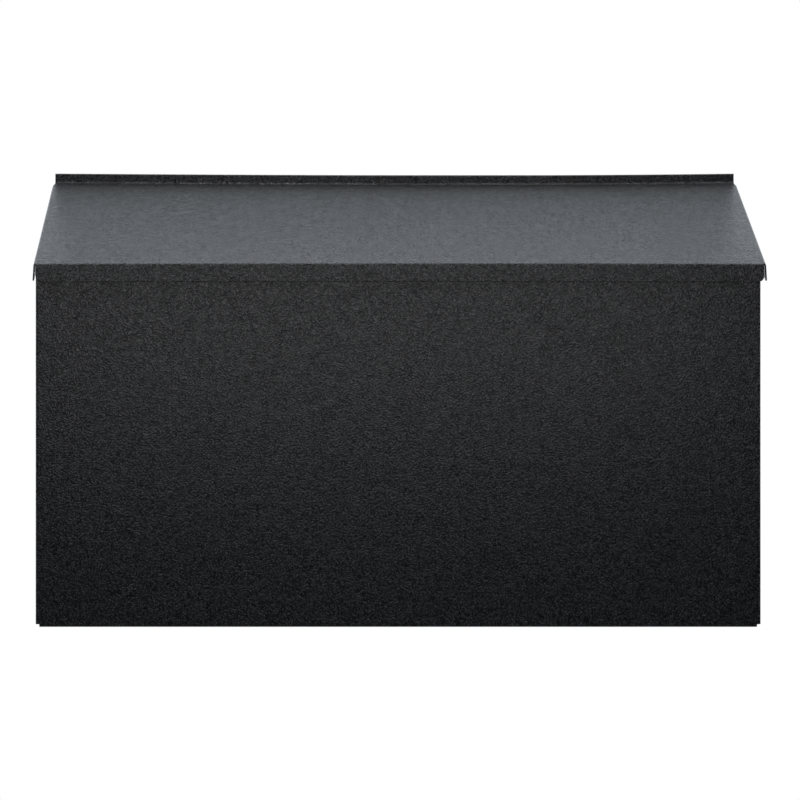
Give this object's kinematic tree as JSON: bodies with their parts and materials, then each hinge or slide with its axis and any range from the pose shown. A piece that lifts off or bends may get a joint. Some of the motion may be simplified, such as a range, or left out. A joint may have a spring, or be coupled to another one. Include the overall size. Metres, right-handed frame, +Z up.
{
  "type": "wall mounted mailbox",
  "caption": "Wide wall mounted mailbox of black powder coated sheet steel, with a sloped hinged lid that lifts for letters and small parcels.",
  "frame": {"origin": "middle of the four mounting holes, on the back face that lies on the wall", "axes": "+Z up, +Y into the wall so that the front faces -Y, +X to the right as seen from the front"},
  "size_m": [0.3855, 0.1087, 0.2476],
  "materials": {
    "powder_coat": "black powder coat with a fine leather texture, satin",
    "painted_hinge": "black powder coat over rolled steel, satin",
    "painted_rivet": "black paint, satin",
    "steel_pin": "drawn wire, bright at the ends",
    "rubber": "matt"
  },
  "bodies": {
    "case": {"front_shell": "powder_coat", "back_panel": "powder_coat", "hinge_leaf_case": "painted_hinge", "hinge_pin": "steel_pin", "side_rivet_left_1": "painted_rivet", "side_rivet_left_2": "painted_rivet", "side_rivet_left_3": "painted_rivet", "side_rivet_left_4": "painted_rivet", "side_rivet_right_1": "painted_rivet", "side_rivet_right_2": "painted_rivet", "side_rivet_right_3": "painted_rivet", "side_rivet_right_4": "painted_rivet", "bottom_rivet_1": "painted_rivet", "bottom_rivet_2": "painted_rivet", "bottom_rivet_3": "painted_rivet", "bottom_rivet_4": "painted_rivet", "lid_bumper_left": "rubber", "lid_bumper_right": "rubber"},
    "lid": {"lid": "powder_coat", "hinge_leaf_lid": "painted_hinge"}
  },
  "joints": [
    {"name": "lid_hinge", "type": "hinge", "parent": "case", "child": "lid", "pos_m": [0, -0.00305, 0.12325], "axis": [-1, 0, 0], "range_deg": [0, 95]}
  ]
}
